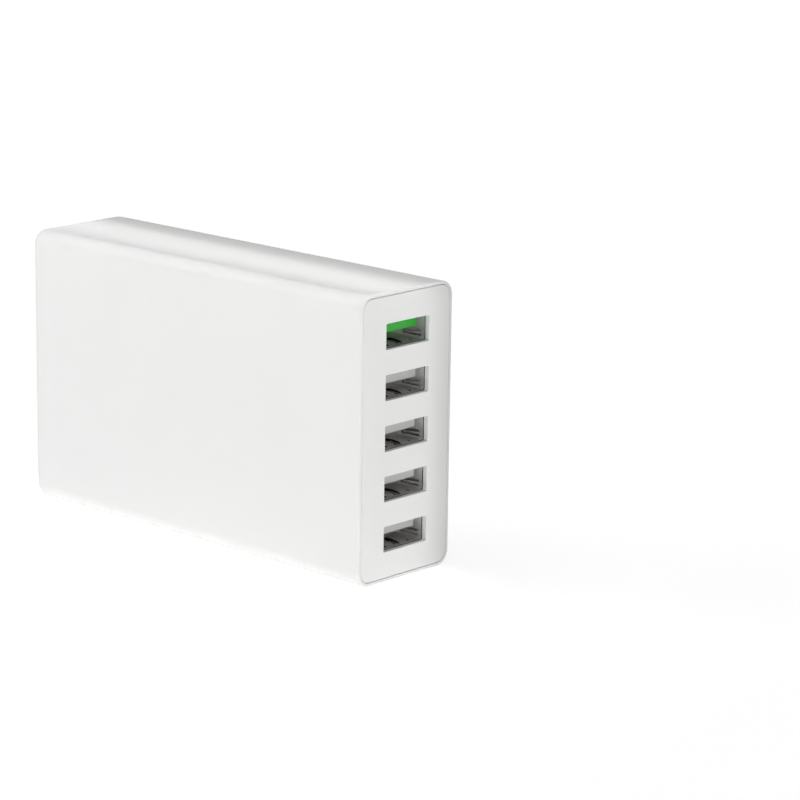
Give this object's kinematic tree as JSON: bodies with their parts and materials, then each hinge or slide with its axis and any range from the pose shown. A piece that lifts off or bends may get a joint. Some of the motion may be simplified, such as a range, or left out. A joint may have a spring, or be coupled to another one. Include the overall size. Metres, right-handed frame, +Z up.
{
  "type": "multi port usb desktop charger",
  "caption": "White box-shaped desktop charger with a column of USB-A sockets in a flush end panel and a two-pin mains inlet in the other end.",
  "frame": {"origin": "middle of the long narrow side that the charger stands on", "axes": "+X from the mains inlet to the USB ports, +Y through the thin side, +Z up"},
  "size_m": [0.0988, 0.027, 0.06],
  "materials": {
    "case_plastic": "white moulded plastic, satin gloss",
    "panel_plastic": "white moulded plastic, satin",
    "inlet_plastic": "black moulded plastic",
    "nickel_pin": "nickel-plated brass",
    "socket_steel": "nickel-plated sheet, rolled finish",
    "tongue_green": "green moulded plastic",
    "tongue_pale": "pale grey moulded plastic",
    "contact_gold": "gold-flashed spring bronze",
    "board_laminate": "glass-epoxy board with green resist",
    "chip_epoxy": "moulded epoxy",
    "fuse_plastic": "black moulded plastic",
    "thermistor_coat": "dipped phenolic coat",
    "film_capacitor_plastic": "yellow box, moulded",
    "disc_coat": "dipped blue epoxy",
    "moulded_black": "black moulded plastic",
    "ferrite": "ground ferrite",
    "enamelled_wire": "enamelled copper wire",
    "winding_tape": "yellow polyester tape over copper",
    "heatsink_aluminium": "bent sheet, plain",
    "screw_steel": "zinc-plated",
    "insulating_film": "clear polyester film",
    "can_sleeve": "aluminium can in a printed-free dark sleeve"
  },
  "bodies": {
    "root": {"case": "case_plastic", "port_panel": "panel_plastic", "inlet_body": "inlet_plastic", "inlet_pin_upper": "nickel_pin", "inlet_pin_lower": "nickel_pin", "main_board": "board_laminate", "usb_board": "board_laminate", "port_controllers": "chip_epoxy", "pwm_controller": "chip_epoxy", "bridge_rectifier": "chip_epoxy", "primary_switch": "chip_epoxy", "output_rectifier": "chip_epoxy", "optocoupler": "chip_epoxy", "fuse": "fuse_plastic", "inrush_thermistor": "thermistor_coat", "x_capacitor": "film_capacitor_plastic", "y_capacitor": "disc_coat", "choke_base": "moulded_black", "transformer_bobbin": "moulded_black", "choke_core": "ferrite", "transformer_core_inlet_half": "ferrite", "transformer_core_port_half": "ferrite", "choke_windings": "enamelled_wire", "transformer_winding": "winding_tape", "primary_heatsink": "heatsink_aluminium", "output_heatsink": "heatsink_aluminium", "heatsink_screws": "screw_steel", "insulation_film": "insulating_film", "bulk_capacitor_1": "can_sleeve", "bulk_capacitor_2": "can_sleeve", "output_capacitor_1": "can_sleeve", "output_capacitor_2": "can_sleeve", "output_capacitor_3": "can_sleeve", "usb_shell_1": "socket_steel", "usb_tongue_1": "tongue_green", "usb_contacts_1": "contact_gold", "usb_shell_2": "socket_steel", "usb_tongue_2": "tongue_pale", "usb_contacts_2": "contact_gold", "usb_shell_3": "socket_steel", "usb_tongue_3": "tongue_pale", "usb_contacts_3": "contact_gold", "usb_shell_4": "socket_steel", "usb_tongue_4": "tongue_pale", "usb_contacts_4": "contact_gold", "usb_shell_5": "socket_steel", "usb_tongue_5": "tongue_pale", "usb_contacts_5": "contact_gold"}
  },
  "joints": []
}
